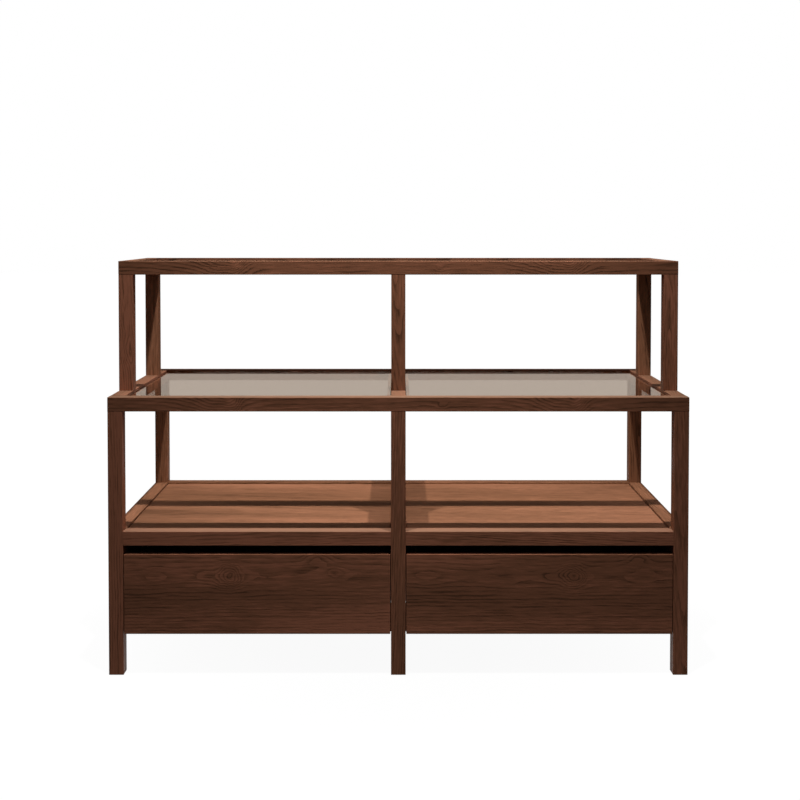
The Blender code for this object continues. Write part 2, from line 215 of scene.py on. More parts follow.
# Noises that draw the finishes: counts per metre along each axis, and octaves of detail
Noise = namedtuple("Noise", "count detail")
DRIFT = Noise((1.6, 9.0, 9.0), 2.0)
WAVE = Noise((11.0, 24.0, 24.0), 2.5)
UNEVEN = Noise((3.0, 34.0, 34.0), 2.0)
STREAK = Noise((5.0, 60.0, 60.0), 2.0)
FIBRE = Noise((20.0, 190.0, 190.0), 3.0)
PORES = Noise((26.0, 620.0, 620.0), 0.0)
TONE = Noise((0.9, 8.0, 8.0), 2.0)
KNOT_WAVER = Noise((26.0, 40.0, 40.0), 2.0)
WEAR = Noise((28.0, 28.0, 28.0), 3.0)
DRAWN_LINES = Noise((2600.0, 9.0, 2600.0), 2.0)
CLOUDING = Noise((70.0, 22.0, 70.0), 3.0)

# How the grain runs: how far it wavers, how rings, streaks and pores are drawn, and how far a knot's
# swelling leaves the rings unbroken
ACROSS = (0.0, 1.0, 1.0)
HALF = (0.5, 0.5, 0.5)
WAVE_REACH = (0.0, 0.008, 0.008)
KNOT_WAVER_REACH = (0.030, 0.016, 0.016)
RING_UNEVENNESS = 1.4
EARLY_WOOD = 0.65
STREAK_STEP = (0.36, 0.64)
STREAK_LEAST = 0.20
UNBROKEN_SWELL = (-0.005, -0.013)
PORE_STEP = (0.55, 0.66)
PORES_IN_EARLY = 0.75
PORES_ALL_OVER = 0.25
HEART_POWER = 12.0

# What the grain does to the shade, from 0 for the deep stain to 1 for the pale one, and to the surface
BASE_SHADE = -0.51
TONE_SHADE = 1.5
FIBRE_SHADE = 0.90
EARLY_SHADE = -0.48
BODY_SHADE = 0.5
PORE_STAIN = 0.6
FIBRE_RELIEF = 0.4
EARLY_DULLNESS = 0.5
GRAIN_ROUGHNESS = 0.10
# Edges painted paler: wear along the arrises, and a painted highlight on them
EDGE_WEAR_AND_HIGHLIGHT_PALENESS = 0.30
WORN_ROUGHNESS = -0.06
# Upward faces between these steps take the painted sheen and wear of a rail's top
TOP_STEP = (0.6, 0.95)

# Plated steel: its clouding, and its roughness along the drawn lines
DULL_PLATING = 0.6
CLOUD_STEP = (0.3, 0.7)
STEEL_ROUGHNESS = 0.22
LINE_ROUGHNESS = 0.25

# Rounded edges, and the screw heads' sockets and rims as shares of a head's radius or height
ROUND_SEGMENTS = 3
HEAD_SEGMENTS = 24
SOCKET_INSET = 0.5
SOCKET_TAPER = 0.1
SOCKET_DEPTH = 0.5
RIM_ROUND = 0.3
SHARP_ANGLE = math.radians(40)

# Stage: half the floor's side, where its painted patch fades out, and the facets of the round wall
FLOOR_REACH = 30.0
PATCH_FADE = (0.2, 1.4)
WALL_SEGMENTS = 64


class TimberSettings(bpy.types.PropertyGroup):
    """The stained oak of the frame, shelf, case and drawer fronts."""

    deep: FloatVectorProperty(
        name="Deep stain", description="Colour in the pores and darkest grain",
        default=(0.092, 0.039, 0.0203), size=3, min=0, max=1, subtype="COLOR")
    body: FloatVectorProperty(
        name="Body stain", description="Colour of most of the timber",
        default=(0.227, 0.0925, 0.0492), size=3, min=0, max=1, subtype="COLOR")
    pale: FloatVectorProperty(
        name="Pale stain", description="Colour of the palest grain",
        default=(0.374, 0.143, 0.081), size=3, min=0, max=1, subtype="COLOR")
    ring_spacing: FloatProperty(
        name="Ring spacing", description="Thickness of one year's growth",
        default=0.0060, min=0.0005, unit="LENGTH")
    wander: FloatProperty(
        name="Grain wander", description="How far the grain strays from straight",
        default=0.016, min=0, unit="LENGTH")
    roughness: FloatProperty(
        name="Roughness", description="Roughness of the oiled surface",
        default=0.44, min=0, max=1, subtype="FACTOR")
    shine: FloatProperty(
        name="Shine", description="Specular level of the oiled surface",
        default=0.06, min=0, max=1, subtype="FACTOR")
    # Colour painted on rail tops: wear from hands and wiping, and painted sheen in place of gloss
    top_wear_and_sheen: FloatVectorProperty(
        name="Rubbed stain", description="Colour of the rail tops that are wiped and leant on",
        default=(0.385, 0.235, 0.152), size=3, min=0, max=1, subtype="COLOR")
    relief: FloatProperty(
        name="Pore relief", description="Depth of the open pores",
        default=0.0003, min=0, unit="LENGTH")
    # Paler edges: wear, and a painted highlight along each arris
    edge_wear_and_highlight_width: FloatProperty(
        name="Worn arris", description="Width of the paler wear along each arris",
        default=0.0024, min=0, unit="LENGTH")


class BoardSettings(bpy.types.PropertyGroup):
    """The browner, paler oak of the shelf, its side and rear rails, and the rear posts; its paleness is
    partly painted light standing in for the stronger light on the shelf's top.
    """

    deep: FloatVectorProperty(
        name="Deep stain", description="Colour in the pores and darkest grain",
        default=(0.131, 0.059, 0.0305), size=3, min=0, max=1, subtype="COLOR")
    body: FloatVectorProperty(
        name="Body stain", description="Colour of most of the timber",
        default=(0.298, 0.134, 0.0715), size=3, min=0, max=1, subtype="COLOR")
    pale: FloatVectorProperty(
        name="Pale stain", description="Colour of the palest grain",
        default=(0.470, 0.205, 0.115), size=3, min=0, max=1, subtype="COLOR")


class BoxSettings(bpy.types.PropertyGroup):
    """The pale oak inside the drawers."""

    deep: FloatVectorProperty(
        name="Deep oak", description="Colour in the pores and darkest grain",
        default=(0.215, 0.128, 0.068), size=3, min=0, max=1, subtype="COLOR")
    body: FloatVectorProperty(
        name="Body oak", description="Colour of most of the timber",
        default=(0.345, 0.222, 0.130), size=3, min=0, max=1, subtype="COLOR")
    pale: FloatVectorProperty(
        name="Pale oak", description="Colour of the palest grain",
        default=(0.430, 0.300, 0.190), size=3, min=0, max=1, subtype="COLOR")


class GlassSettings(bpy.types.PropertyGroup):
    """The three panes."""

    tint: FloatVectorProperty(
        name="Glass tint", description="Colour of light through a pane",
        default=(0.965, 0.955, 0.940), size=3, min=0, max=1, subtype="COLOR")
    edge: FloatVectorProperty(
        name="Edge tint", description="Colour along a pane's ground edge",
        default=(0.42, 0.50, 0.44), size=3, min=0, max=1, subtype="COLOR")
    edge_width: FloatProperty(
        name="Edge width", description="Width of the tinted edge",
        default=0.003, min=0, unit="LENGTH")
    refraction: FloatProperty(
        name="Refraction", description="How strongly a pane bends light", default=1.50, min=1)


class SlideSettings(bpy.types.PropertyGroup):
    """The steel slides and their screws."""

    plating: FloatVectorProperty(
        name="Plating", description="Colour of the black-plated steel",
        default=(0.050, 0.050, 0.053), size=3, min=0, max=1, subtype="COLOR")


class FittingSettings(bpy.types.PropertyGroup):
    """The drawer stops and the screws in the slides."""

    stop_reach: FloatProperty(
        name="Stop reach", description="How far a drawer stop stands off its post",
        default=0.010, unit="LENGTH")
    stop_depth: FloatProperty(
        name="Stop depth", description="Front to back size of a drawer stop",
        default=0.015, unit="LENGTH")
    stop_round: FloatProperty(
        name="Stop rounding", description="Radius of a drawer stop's edges",
        default=0.0015, unit="LENGTH")
    clearance: FloatProperty(
        name="Clearance", description="Gap left round a fitting", default=0.0003, unit="LENGTH")
    strip: FloatProperty(
        name="Slide strip", description="Thickness of the slides' steel", default=0.0012, unit="LENGTH")
    head_radius: FloatProperty(
        name="Screw head", description="Radius of a screw's pan head", default=0.0036, unit="LENGTH")
    head_height: FloatProperty(
        name="Screw height", description="Height of a screw's pan head", default=0.0020, unit="LENGTH")
    screw_inset: FloatProperty(
        name="Screw inset", description="How far the end screws stand from a slide's ends",
        default=0.036, unit="LENGTH")
    screws: IntProperty(name="Screws", description="Screws in each slide", default=3, min=2)


class StageSettings(bpy.types.PropertyGroup):
    """Camera, lamps, floor and surroundings."""

    camera_place: FloatVectorProperty(
        name="Camera", description="Where the camera stands",
        default=(0.0, -3.6063, 1.1529), size=3, subtype="TRANSLATION", unit="LENGTH")
    camera_pitch: FloatProperty(
        name="Pitch", description="How far the camera looks down",
        default=math.radians(1.705), subtype="ANGLE")
    lens: FloatProperty(
        name="Lens", description="Focal length in millimetres", default=57.26, min=1, unit="CAMERA")
    shift: FloatVectorProperty(
        name="Shift", description="Lens shift, as a share of the picture",
        default=(0.0021, -0.165), size=2)
    lamp_place: FloatVectorProperty(
        name="Lamp", description="Where the right lamp hangs; the left one mirrors it",
        default=(0.36, -0.793, 3.18), size=3, subtype="TRANSLATION", unit="LENGTH")
    lamp_aim: FloatVectorProperty(
        name="Lamp aim", description="What the right lamp points at",
        default=(0.45, 0.0, 0.37), size=3, subtype="TRANSLATION", unit="LENGTH")
    lamp_size: FloatProperty(
        name="Lamp size", description="Side of each square lamp", default=0.05, min=0.01, unit="LENGTH")
    lamp_spread: FloatProperty(
        name="Lamp spread", description="Angle that each lamp's beam fills",
        default=math.radians(54.0), subtype="ANGLE")
    lamp_power: FloatProperty(
        name="Lamp power", description="Power of each lamp", default=5.4, min=0, unit="POWER")
    soft_place: FloatVectorProperty(
        name="Soft lamp", description="Where the right rear soft lamp stands; the left one mirrors it",
        default=(2.7, 1.9, 2.0), size=3, subtype="TRANSLATION", unit="LENGTH")
    soft_size: FloatProperty(
        name="Soft lamp size", description="Side of each soft lamp",
        default=1.6, min=0.01, unit="LENGTH")
    soft_power: FloatProperty(
        name="Soft lamp power", description="Power of each soft lamp",
        default=20.0, min=0, unit="POWER")
    fill: FloatProperty(
        name="Fill", description="Strength of the light from all round", default=0.12, min=0)
    room: FloatVectorProperty(
        name="Room", description="Tone of the room that shows in glass and through it",
        default=(0.46, 0.39, 0.33), size=3, min=0, max=1, subtype="COLOR")
    room_in_gloss: FloatProperty(
        name="Room in gloss", description="Share of the room's tone that satin surfaces show",
        default=0.1, min=0, max=1, subtype="FACTOR")
    floor_paint: FloatProperty(
        name="Floor paint", description="Brightness of the floor's paint under the lamp",
        default=0.055, min=0, max=1, subtype="FACTOR")
    floor_bounce: FloatProperty(
        name="Floor bounce", description="How much light the floor throws back up",
        default=0.10, min=0, max=1, subtype="FACTOR")
    room_radius: FloatProperty(
        name="Room radius", description="How far off the wall that glass shows stands",
        default=2.4, unit="LENGTH")
    room_height: FloatProperty(
        name="Room height", description="Height of the wall that glass shows",
        default=4.0, unit="LENGTH")


class Graph:
    """Adds nodes to one tree and links them."""

    def __init__(self, tree):
        self.tree = tree

    def node(self, kind, **settings):
        made = self.tree.nodes.new(kind)
        for name, value in settings.items():
            setattr(made, name, value)
        return made

    def feed(self, socket, value):
        """Link a socket to an output, or give it a plain value."""
        if isinstance(value, bpy.types.NodeSocket):
            self.tree.links.new(value, socket)
        else:
            socket.default_value = value

    def math(self, operation, *values):
        made = self.node("ShaderNodeMath", operation=operation)
        for socket, value in zip(made.inputs, values):
            self.feed(socket, value)
        return made.outputs[0]

    def vector(self, operation, *values):
        made = self.node("ShaderNodeVectorMath", operation=operation)
        for socket, value in zip(made.inputs, values):
            self.feed(socket, value)
        return made.outputs["Value" if operation == "LENGTH" else "Vector"]

    def split(self, vector):
        made = self.node("ShaderNodeSeparateXYZ")
        self.feed(made.inputs[0], vector)
        return tuple(made.outputs)

    def noise(self, place, pattern, output="Fac"):
        """Noise with its own count per metre along each axis."""
        made = self.node("ShaderNodeTexNoise")
        self.feed(made.inputs["Vector"], self.vector("MULTIPLY", place, pattern.count))
        made.inputs["Scale"].default_value = 1.0
        made.inputs["Detail"].default_value = pattern.detail
        return made.outputs[output]

    def stray(self, place, pattern, reach):
        """An offset that wanders up to half the reach either way along each axis."""
        offset = self.vector("SUBTRACT", self.noise(place, pattern, "Color"), HALF)
        return self.vector("MULTIPLY", offset, reach)

    def step(self, value, low, high, to_low=0.0, to_high=1.0):
        """A smooth step from one level to another."""
        made = self.node("ShaderNodeMapRange", interpolation_type="SMOOTHSTEP")
        names = ("Value", "From Min", "From Max", "To Min", "To Max")
        for name, level in zip(names, (value, low, high, to_low, to_high)):
            self.feed(made.inputs[name], level)
        return made.outputs["Result"]

    def blend(self, share, first, second):
        """Mix two colours."""
        made = self.node("ShaderNodeMix", data_type="RGBA")
        sockets = {socket.identifier: socket for socket in made.inputs}
        for name, value in (("Factor_Float", share), ("A_Color", first), ("B_Color", second)):
            self.feed(sockets[name], value)
        return next(socket for socket in made.outputs if socket.identifier == "Result_Color")

    def group(self, tree, **values):
        """Place a node group and feed its inputs, named with _ for a space."""
        made = self.node("ShaderNodeGroup", node_tree=tree)
        for name, value in values.items():
            self.feed(made.inputs[name.replace("_", " ")], value)
        return made.outputs


def opaque(colour):
    return (*colour, 1.0)


def new_group(name, inputs, outputs):
    """Start a shader node group, and give back its pen, its inputs and its outputs."""
    tree = bpy.data.node_groups.new(name, "ShaderNodeTree")
    for direction, sockets in (("INPUT", inputs), ("OUTPUT", outputs)):
        for label, kind in sockets.items():
            tree.interface.new_socket(name=label, in_out=direction, socket_type="NodeSocket" + kind)
    graph = Graph(tree)
    given = graph.node("NodeGroupInput").outputs
    result = graph.node("NodeGroupOutput").inputs
    return graph, given, result


def oak_group():
    """Growth rings about a pith, wandering grain, pores and fibres, from a place along the grain."""
    name = "Oak"
    if name in bpy.data.node_groups:
        return bpy.data.node_groups[name]
    inputs = {"Vector": "Vector", "Ring Spacing": "Float", "Wander": "Float", "Swell": "Float"}
    inputs |= {"Tone": "Float", "Deep": "Color", "Body": "Color", "Pale": "Color"}
    outputs = {"Color": "Color", "Height": "Float", "Dullness": "Float"}
    graph, given, result = new_group(name, inputs, outputs)

    place = given["Vector"]
    drift = graph.vector("MULTIPLY", graph.stray(place, DRIFT, ACROSS), given["Wander"])
    strayed = graph.vector("ADD", place, drift)
    strayed = graph.vector("ADD", strayed, graph.stray(place, WAVE, WAVE_REACH))

    radius = graph.vector("LENGTH", graph.vector("MULTIPLY", strayed, ACROSS))
    radius = graph.math("ADD", radius, given["Swell"])

    rings = graph.math("DIVIDE", radius, given["Ring Spacing"])
    rings = graph.math("MULTIPLY_ADD", graph.noise(strayed, UNEVEN), RING_UNEVENNESS, rings)
    early = graph.step(graph.math("FRACT", rings), EARLY_WOOD, 0.0)
    streak = graph.step(graph.noise(strayed, STREAK), *STREAK_STEP, STREAK_LEAST, 1.0)
    unbroken = graph.step(given["Swell"], *UNBROKEN_SWELL)
    early = graph.math("MULTIPLY", early, graph.math("MAXIMUM", streak, unbroken))
    fibre = graph.noise(place, FIBRE)
    pores = graph.step(graph.noise(place, PORES), *PORE_STEP)
    open_pores = graph.math("MULTIPLY_ADD", early, PORES_IN_EARLY, PORES_ALL_OVER)
    pores = graph.math("MULTIPLY", pores, open_pores)

    shade = graph.math("ADD", given["Tone"], BASE_SHADE)
    shade = graph.math("MULTIPLY_ADD", graph.noise(place, TONE), TONE_SHADE, shade)
    shade = graph.math("MULTIPLY_ADD", fibre, FIBRE_SHADE, shade)
    shade = graph.math("MULTIPLY_ADD", early, EARLY_SHADE, shade)
    colour = graph.blend(graph.step(shade, 0.0, BODY_SHADE), given["Deep"], given["Body"])
    colour = graph.blend(graph.step(shade, BODY_SHADE, 1.0), colour, given["Pale"])
    colour = graph.blend(graph.math("MULTIPLY", pores, PORE_STAIN), colour, given["Deep"])
    graph.feed(result["Color"], colour)
    height = graph.math("SUBTRACT", graph.math("MULTIPLY", fibre, FIBRE_RELIEF), pores)
    graph.feed(result["Height"], height)
    graph.feed(result["Dullness"], graph.math("MULTIPLY_ADD", early, EARLY_DULLNESS, pores))
    return graph.tree


def knot_group():
    """How far the rings swell round one knot, and a mask of the knot's heart."""
    name = "Knot"
    if name in bpy.data.node_groups:
        return bpy.data.node_groups[name]
    inputs = {"Vector": "Vector", "Centre": "Vector", "Swell": "Float", "Reach": "Vector"}
    graph, given, result = new_group(name, inputs, {"Swell": "Float", "Heart": "Float"})
    place = given["Vector"]
    place = graph.vector("ADD", place, graph.stray(place, KNOT_WAVER, KNOT_WAVER_REACH))
    gap = graph.vector("SUBTRACT", place, given["Centre"])
    gap = graph.vector("LENGTH", graph.vector("DIVIDE", gap, given["Reach"]))
    near = graph.math("EXPONENT", graph.math("MULTIPLY", graph.math("MULTIPLY", gap, gap), -1.0))
    graph.feed(result["Swell"], graph.math("MULTIPLY", near, given["Swell"]))
    graph.feed(result["Heart"], graph.math("POWER", near, HEART_POWER))
    return graph.tree


def arris_group():
    """A mask along the edges of a squared piece, broken up as wear is."""
    name = "Arris"
    if name in bpy.data.node_groups:
        return bpy.data.node_groups[name]
    inputs = {"Vector": "Vector", "Centre": "Vector", "Half Size": "Vector", "Width": "Float"}
    graph, given, result = new_group(name, inputs, {"Mask": "Float"})
    inside = graph.vector("ABSOLUTE", graph.vector("SUBTRACT", given["Vector"], given["Centre"]))
    inside = graph.vector("SUBTRACT", given["Half Size"], inside)
    x, y, z = graph.split(inside)
    second = graph.math("MINIMUM", graph.math("MAXIMUM", x, y), z)
    middle = graph.math("MAXIMUM", graph.math("MINIMUM", x, y), second)
    # Noise is one half on average, so twice it keeps the mean width
    uneven = graph.math("MULTIPLY", graph.noise(given["Vector"], WEAR), 2.0)
    reach = graph.math("MULTIPLY", given["Width"], uneven)
    graph.feed(result["Mask"], graph.step(graph.math("DIVIDE", middle, reach), 1.0, 0.0))
    return graph.tree


def brushed_group():
    """Fine drawing lines along Y, and faint clouding, as on plated strip."""
    name = "Drawn strip"
    if name in bpy.data.node_groups:
        return bpy.data.node_groups[name]
    graph, given, result = new_group(name, {"Vector": "Vector"}, {"Lines": "Float", "Cloud": "Float"})
    graph.feed(result["Lines"], graph.noise(given["Vector"], DRAWN_LINES))
    graph.feed(result["Cloud"], graph.noise(given["Vector"], CLOUDING))
    return graph.tree


def clear_graph(owner):
    """Empty the node tree of a material or a world, and give back its pen."""
    owner.use_nodes = True
    owner.node_tree.nodes.clear()
    return Graph(owner.node_tree)


def new_material(name):
    """A material with one shader: also its pen, the shader and its surface socket."""
    material = bpy.data.materials.new(name)
    graph = clear_graph(material)
    shader = graph.node("ShaderNodeBsdfPrincipled")
    surface = graph.node("ShaderNodeOutputMaterial").inputs["Surface"]
    graph.feed(surface, shader.outputs[0])
    return material, graph, shader, surface


def dress(node, material):
    """Give a CAD node's object its material."""
    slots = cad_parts[node].material_slots
    if not slots:
        raise RuntimeError(f"{node} has no material slot")
    for slot in slots:
        slot.material = material


def middle_and_half(box):
    low, high = box
    return (low + high) / 2, (high - low) / 2


def between(limits, share):
    return limits[0] + (limits[1] - limits[0]) * share


def saw_cut(number, spacing):
    """How an unfigured board lies in its log, spread evenly from one board to the next."""
    shares = [number * step % 1.0 for step in SPREAD]
    beside = (between(PITH_DEPTH, shares[2]), between(PITH_ASIDE, shares[3]))
    tilt = (between(SAW_TILT, shares[0]), between(SAW_TILT, shares[1]))
    return Figure(beside, tilt, spacing, ())


def board_mapping(graph, box, number, figure):
    """Lay a piece's longest side along the grain, and place the log's pith beside its middle."""
    middle, half = middle_and_half(box)
    along = max((X, Y, Z), key=lambda axis: half[axis])
    turn = Euler((0, *figure.tilt)).to_matrix() @ GRAIN_TURN[along].to_matrix()
    pith = Vector((number * LOG_STEP, *figure.beside))
    mapping = graph.node("ShaderNodeMapping")
    mapping.inputs["Location"].default_value = pith - turn @ middle
    mapping.inputs["Rotation"].default_value = turn.to_euler()
    return mapping, lambda offset: pith + turn @ offset


def knot_figure(graph, place, figure, half, in_log):
    """The swelling of a board's knots, and the tone of their hearts."""
    swell, tone = 0.0, 0.0
    for knot in figure.knots:
        aside, up = knot.place
        centre = in_log(Vector((aside, -half[Y], up)))
        along, across = knot.reach
        reach = (along, KNOT_DEPTH, across)
        bow = graph.group(knot_group(), Vector=place, Centre=centre, Swell=knot.swell, Reach=reach)
        swell = graph.math("ADD", swell, bow["Swell"])
        tone = graph.math("MULTIPLY_ADD", bow["Heart"], knot.heart, tone)
    return swell, tone


def oak_material(name, box, number, palette, timber):
    """A piece of oak with its own place in a log, in the given colours."""
    material, graph, shader, _ = new_material(f"{name}_oak")
    coordinates = graph.node("ShaderNodeTexCoord").outputs["Object"]
    figure = FIGURED.get(name, saw_cut(number, timber.ring_spacing))
    mapping, in_log = board_mapping(graph, box, number, figure)
    graph.feed(mapping.inputs["Vector"], coordinates)
    middle, half = middle_and_half(box)
    swell, hearts = knot_figure(graph, mapping.outputs[0], figure, half, in_log)
    # Listed tones hold painted light and shade for some pieces; the rest vary at random
    tone = PIECE_TONE_AND_PAINTED_LIGHT.get(name, between(TONE_SPREAD, number * SPREAD[0] % 1.0))
    oak = graph.group(
        oak_group(), Vector=mapping.outputs[0], Ring_Spacing=figure.spacing, Wander=timber.wander,
        Swell=swell, Tone=graph.math("ADD", hearts, tone),
        Deep=opaque(palette.deep), Body=opaque(palette.body), Pale=opaque(palette.pale))
    arris = graph.group(
        arris_group(), Vector=coordinates, Centre=middle, Half_Size=half, Width=timber.edge_wear_and_highlight_width)
    # Edges painted paler: wear along the arrises together with a painted edge highlight
    edge_wear_and_highlight = arris["Mask"]
    paler = graph.math("MULTIPLY", edge_wear_and_highlight, EDGE_WEAR_AND_HIGHLIGHT_PALENESS)
    colour = graph.blend(paler, oak["Color"], opaque(palette.pale))
    # Upward faces painted paler and greyer: wear, and painted sheen in place of gloss
    if name in TOP_WEAR_AND_SHEEN:
        _, _, upward = graph.split(graph.node("ShaderNodeNewGeometry").outputs["Normal"])
        top_pale_and_sheen = graph.step(upward, *TOP_STEP, 0.0, TOP_WEAR_AND_SHEEN[name])
        colour = graph.blend(top_pale_and_sheen, colour, opaque(timber.top_wear_and_sheen))
    graph.feed(shader.inputs["Base Color"], colour)
    rough = graph.math("MULTIPLY_ADD", oak["Dullness"], GRAIN_ROUGHNESS, timber.roughness)
    rough = graph.math("MULTIPLY_ADD", edge_wear_and_highlight, WORN_ROUGHNESS, rough)
    graph.feed(shader.inputs["Roughness"], rough)
    shader.inputs["Specular IOR Level"].default_value = timber.shine
    bump = graph.node("ShaderNodeBump")
    bump.inputs["Distance"].default_value = timber.relief
    graph.feed(bump.inputs["Height"], oak["Height"])
    graph.feed(shader.inputs["Normal"], bump.outputs[0])
    return material


def cut_timber(nodes, first, palette, timber):
    """Dress a list of pieces, each sawn from the next place in the log."""
    for number, node in enumerate(nodes, first):
        dress(node, oak_material(node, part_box(node), number, palette, timber))


def add_object(scene, name, shape, material):
    """Put a finished shape into the scene."""
    mesh = bpy.data.meshes.new(name)
    shape.to_mesh(mesh)
    shape.free()
    mesh.materials.append(material)
    made = bpy.data.objects.new(name, mesh)
    scene.collection.objects.link(made)
    return made


def add_piece(scene, name, shape, material, body):
    """Put a piece of the console into the scene, on the body that carries it."""
    bmesh.ops.recalc_face_normals(shape, faces=shape.faces)
    piece = add_object(scene, name, shape, material)
    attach(piece, body)
    return piece


class CONSOLE_OT_frame_timber(bpy.types.Operator):
    """Finish the posts and rails in stained oak"""

    bl_idname = "console.frame_timber"
    bl_label = "Posts and Rails"

    def execute(self, context):
        timber, browner = context.scene.console_timber, context.scene.console_boards
        for number, node in enumerate(FRAME_TIMBER, FIRST_BOARD["frame"]):
            palette = browner if node in BROWNER_TIMBER else timber
            dress(node, oak_material(node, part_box(node), number, palette, timber))
        return {"FINISHED"}


class CONSOLE_OT_boards(bpy.types.Operator):
    """Finish the shelf boards and case panels in stained oak"""

    bl_idname = "console.boards"
    bl_label = "Boards and Panels"

    def execute(self, context):
        timber = context.scene.console_timber
        # The shelf boards take the paler board stain, partly painted light on their tops
        cut_timber(SHELF_BOARDS, FIRST_BOARD["shelf"], context.scene.console_boards, timber)
        cut_timber(CASE_PANELS, FIRST_BOARD["case"], timber, timber)
        return {"FINISHED"}


class CONSOLE_OT_drawer_fronts(bpy.types.Operator):
    """Finish the drawer fronts in knotty stained oak"""

    bl_idname = "console.drawer_fronts"
    bl_label = "Drawer Fronts"

    def execute(self, context):
        timber = context.scene.console_timber
        cut_timber(DRAWER_FRONTS, FIRST_BOARD["front"], timber, timber)
        return {"FINISHED"}


class CONSOLE_OT_drawer_boxes(bpy.types.Operator):
    """Finish the drawers' sides, backs and bases in pale oak"""

    bl_idname = "console.drawer_boxes"
    bl_label = "Drawer Boxes"

    def execute(self, context):
        timber = context.scene.console_timber
        cut_timber(DRAWER_BOXES, FIRST_BOARD["box"], context.scene.console_box, timber)
        return {"FINISHED"}


class CONSOLE_OT_drawer_stops(bpy.types.Operator):
    """Fix oak stops to the front posts behind the drawer fronts"""

    bl_idname = "console.drawer_stops"
    bl_label = "Drawer Stops"

    def execute(self, context):
        posts = {("left", "left"): "left", ("left", "right"): "centre"}
        posts |= {("right", "left"): "centre", ("right", "right"): "right"}
        for number, ((bay, side), column) in enumerate(posts.items(), FIRST_BOARD["stop"]):
            self.fix_stop(context.scene, bay, side, f"base_post_front_{column}", number)
        return {"FINISHED"}

    def fix_stop(self, scene, bay, side, post, number):
        """A rounded block on the post's inner face, below the slide."""
        fittings, timber = scene.console_fittings, scene.console_timber
        post_low, post_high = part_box(post)
        front_low, front_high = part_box(f"drawer_{bay}_front")
        slide_low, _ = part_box(f"slide_{bay}_{side}_outer")
        face = post_high[X] if side == "left" else post_low[X]
        reach = fittings.stop_reach if side == "left" else -fittings.stop_reach
        front = front_high[Y] + fittings.clearance
        low = Vector((min(face, face + reach), front, front_low[Z]))
        top = slide_low[Z] - fittings.stop_round
        high = Vector((max(face, face + reach), front + fittings.stop_depth, top))
        middle, half = middle_and_half((low, high))
        shape = bmesh.new()
        bmesh.ops.create_cube(shape, size=1.0)
        bmesh.ops.scale(shape, vec=2 * half, verts=shape.verts)
        bmesh.ops.translate(shape, vec=middle, verts=shape.verts)
        bmesh.ops.bevel(
            shape, geom=shape.edges[:], offset=fittings.stop_round, affect="EDGES",
            segments=ROUND_SEGMENTS, profile=0.5, material=-1)
        name = f"drawer_stop_{bay}_{side}"
        material = oak_material(name, (low, high), number, timber, timber)
        add_piece(scene, name, shape, material, "frame")


class CONSOLE_OT_panes(bpy.types.Operator):
    """Glaze the tiers with clear panes that lamps shine through"""

    bl_idname = "console.panes"
    bl_label = "Panes"

    def execute(self, context):
        glass = context.scene.console_glass
        for node in PANES:
            dress(node, self.pane_material(node, glass))
        return {"FINISHED"}

    def pane_material(self, node, glass):
        material, graph, shader, surface = new_material(f"{node}_glass")
        coordinates = graph.node("ShaderNodeTexCoord").outputs["Object"]
        middle, half = middle_and_half(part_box(node))
        arris = graph.group(
            arris_group(), Vector=coordinates, Centre=middle, Half_Size=half, Width=glass.edge_width)
        colour = graph.blend(arris["Mask"], opaque(glass.tint), opaque(glass.edge))
        graph.feed(shader.inputs["Base Color"], colour)
        shader.inputs["Roughness"].default_value = 0.0
        shader.inputs["Transmission Weight"].default_value = 1.0
        shader.inputs["IOR"].default_value = glass.refraction
        clear = graph.node("ShaderNodeBsdfTransparent")
        clear.inputs["Color"].default_value = opaque(glass.tint)
        path = graph.node("ShaderNodeLightPath").outputs
        mix = graph.node("ShaderNodeMixShader")
        passing = graph.math("MAXIMUM", path["Is Shadow Ray"], path["Is Diffuse Ray"])
        graph.feed(mix.inputs[0], passing)
        graph.feed(mix.inputs[1], shader.outputs[0])
        graph.feed(mix.inputs[2], clear.outputs[0])
        graph.feed(surface, mix.outputs[0])
        return material


def steel_material(name, slides):
    """Plated steel, drawn along its length and faintly clouded."""
    material, graph, shader, _ = new_material(f"{name}_steel")
    coordinates = graph.node("ShaderNodeTexCoord").outputs["Object"]
    drawn = graph.group(brushed_group(), Vector=coordinates)
    dull = tuple(DULL_PLATING * part for part in slides.plating)
    cloud = graph.step(drawn["Cloud"], *CLOUD_STEP)
    colour = graph.blend(cloud, opaque(dull), opaque(slides.plating))
    graph.feed(shader.inputs["Base Color"], colour)
    shader.inputs["Metallic"].default_value = 1.0
    rough = graph.math("MULTIPLY_ADD", drawn["Lines"], LINE_ROUGHNESS, STEEL_ROUGHNESS)
    graph.feed(shader.inputs["Roughness"], rough)
    return material


class CONSOLE_OT_slides(bpy.types.Operator):
    """Finish the telescopic slides in plated steel"""

    bl_idname = "console.slides"
    bl_label = "Slides"

    def execute(self, context):
        for node in SLIDES:
            dress(node, steel_material(node, context.scene.console_slides))
        return {"FINISHED"}


